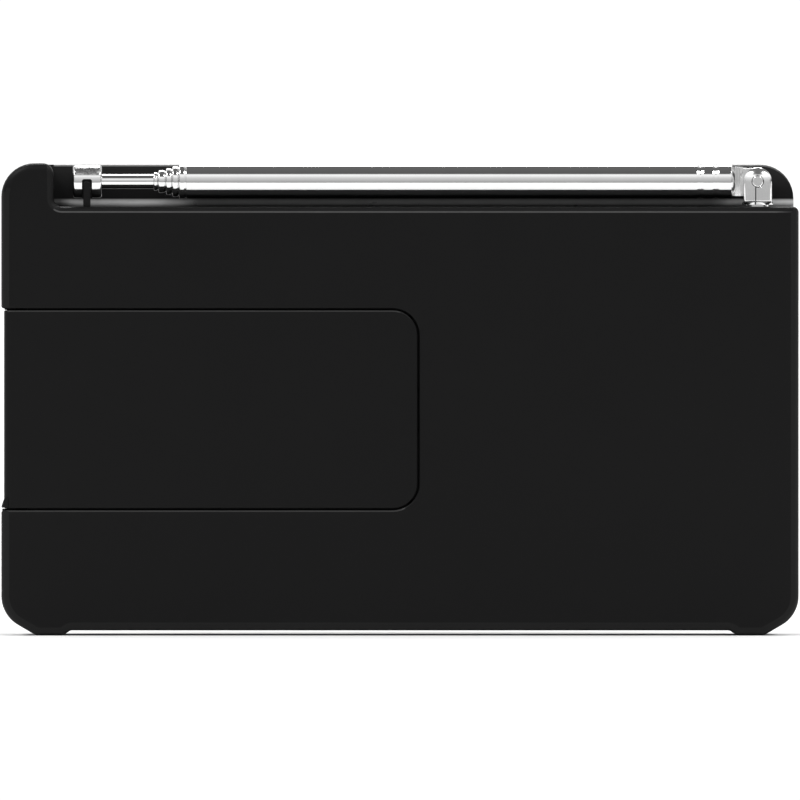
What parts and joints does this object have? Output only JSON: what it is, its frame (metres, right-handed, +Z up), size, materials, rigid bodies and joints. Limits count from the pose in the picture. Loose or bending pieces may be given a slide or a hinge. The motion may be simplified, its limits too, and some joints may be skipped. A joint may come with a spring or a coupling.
{
  "type": "tabletop radio",
  "caption": "Small battery tabletop radio in a black plastic case with a telescopic aerial folded along its top rear edge, a slide-off battery door, a speaker and dial controls.",
  "frame": {"origin": "centre of the bounding box's underside, on the plane that the two skids stand on", "axes": "+Z up, +Y out of the back (the side with the aerial and the battery door), -Y out of the speaker and dial side, +X to the right of someone who faces the dial"},
  "size_m": [0.119, 0.0336, 0.0705],
  "materials": {
    "case_plastic": "matte",
    "knob_plastic": "satin",
    "dial_plastic": "gloss",
    "aerial_chrome": "polished",
    "steel": "satin",
    "grille_steel": "satin",
    "aluminium": "satin",
    "board_laminate": "satin",
    "black_resin": "satin",
    "ferrite": "matte",
    "coil_copper": "satin",
    "white_nylon": "satin",
    "cone_paper": "matte",
    "cell_jacket": "satin",
    "led_lens": "gloss",
    "red_insulation": "satin"
  },
  "bodies": {
    "radio": {"rear_case": "case_plastic", "front_case": "case_plastic", "case_screw_1": "steel", "case_screw_2": "steel", "battery_upper": "cell_jacket", "battery_lower": "cell_jacket", "battery_link_contact": "steel", "battery_positive_contact": "steel", "battery_negative_contact": "steel", "antenna_solder_tag": "steel", "antenna_lead": "black_resin", "speaker_grille": "grille_steel", "speaker_frame": "steel", "speaker_magnet": "ferrite", "speaker_lead_1": "red_insulation", "speaker_lead_2": "black_resin", "dial_plate": "dial_plastic", "tuning_capacitor": "white_nylon", "volume_potentiometer": "steel", "band_switch_body": "steel", "main_board": "board_laminate", "ferrite_rod": "ferrite", "ferrite_coil": "coil_copper", "ferrite_clip_1": "white_nylon", "ferrite_clip_2": "white_nylon", "if_transformer_1": "aluminium", "if_transformer_2": "aluminium", "if_transformer_3": "aluminium", "electrolytic_capacitor_1": "black_resin", "electrolytic_capacitor_2": "black_resin", "radio_chip": "black_resin", "amplifier_chip": "black_resin", "power_led": "led_lens", "headphone_jack": "black_resin"},
    "battery_door": {"battery_door": "case_plastic"},
    "antenna_base": {"antenna_clevis": "aerial_chrome", "antenna_pivot_pin": "aerial_chrome", "antenna_screw": "steel", "antenna_washer": "steel"},
    "antenna_arm": {"antenna_eye": "aerial_chrome", "antenna_section_1": "aerial_chrome"},
    "antenna_second": {"antenna_section_2": "aerial_chrome"},
    "antenna_third": {"antenna_section_3": "aerial_chrome"},
    "antenna_fourth": {"antenna_section_4": "aerial_chrome"},
    "antenna_fifth": {"antenna_section_5": "aerial_chrome"},
    "antenna_end": {"antenna_rod": "aerial_chrome", "antenna_tip": "aerial_chrome"},
    "tuning_control": {"tuning_knob": "knob_plastic", "tuning_knob_inlay": "aluminium", "tuning_shaft": "white_nylon"},
    "volume_control": {"volume_knob": "knob_plastic", "volume_shaft": "aluminium"},
    "band_switch": {"band_switch_cap": "knob_plastic"},
    "speaker_diaphragm": {"speaker_cone": "cone_paper", "speaker_dust_cap": "cone_paper"}
  },
  "joints": [
    {"name": "battery_door_slide", "type": "slide", "parent": "radio", "child": "battery_door", "axis": [1, 0, 0], "range_m": [0, 0.064]},
    {"name": "antenna_swivel", "type": "hinge", "parent": "radio", "child": "antenna_base", "pos_m": [-0.0534, 0.0123, 0.06776], "axis": [0, 0, 1], "range_deg": [0, 180]},
    {"name": "antenna_tilt", "type": "hinge", "parent": "antenna_base", "child": "antenna_arm", "pos_m": [-0.0534, 0.0123, 0.06776], "axis": [0, -1, 0], "range_deg": [0, 90]},
    {"name": "antenna_draw_1", "type": "slide", "parent": "antenna_arm", "child": "antenna_second", "axis": [1, 0, 0], "range_m": [0, 0.068]},
    {"name": "antenna_draw_2", "type": "slide", "parent": "antenna_second", "child": "antenna_third", "axis": [1, 0, 0], "range_m": [0, 0.068]},
    {"name": "antenna_draw_3", "type": "slide", "parent": "antenna_third", "child": "antenna_fourth", "axis": [1, 0, 0], "range_m": [0, 0.068]},
    {"name": "antenna_draw_4", "type": "slide", "parent": "antenna_fourth", "child": "antenna_fifth", "axis": [1, 0, 0], "range_m": [0, 0.068]},
    {"name": "antenna_draw_5", "type": "slide", "parent": "antenna_fifth", "child": "antenna_end", "axis": [1, 0, 0], "range_m": [0, 0.068]},
    {"name": "tuning_turn", "type": "hinge", "parent": "radio", "child": "tuning_control", "pos_m": [0.0245, -0.012, 0.041], "axis": [0, 1, 0], "range_deg": [-90, 90]},
    {"name": "volume_turn", "type": "hinge", "parent": "radio", "child": "volume_control", "pos_m": [0.046, -0.012, 0.0118], "axis": [0, 1, 0], "range_deg": [0, 280]},
    {"name": "band_switch_slide", "type": "slide", "parent": "radio", "child": "band_switch", "axis": [1, 0, 0], "range_m": [0, 0.004]},
    {"name": "speaker_cone_travel", "type": "slide", "parent": "radio", "child": "speaker_diaphragm", "axis": [0, -1, 0], "range_m": [-0.0004, 0.0004], "stiffness_N_per_m": 800}
  ],
  "couplings": [
    {"joint": "antenna_draw_1", "follows": "antenna_tilt", "m_per_rad": 0.0432},
    {"joint": "antenna_draw_2", "follows": "antenna_tilt", "m_per_rad": 0.0432},
    {"joint": "antenna_draw_3", "follows": "antenna_tilt", "m_per_rad": 0.0432},
    {"joint": "antenna_draw_4", "follows": "antenna_tilt", "m_per_rad": 0.0432},
    {"joint": "antenna_draw_5", "follows": "antenna_tilt", "m_per_rad": 0.0432}
  ]
}
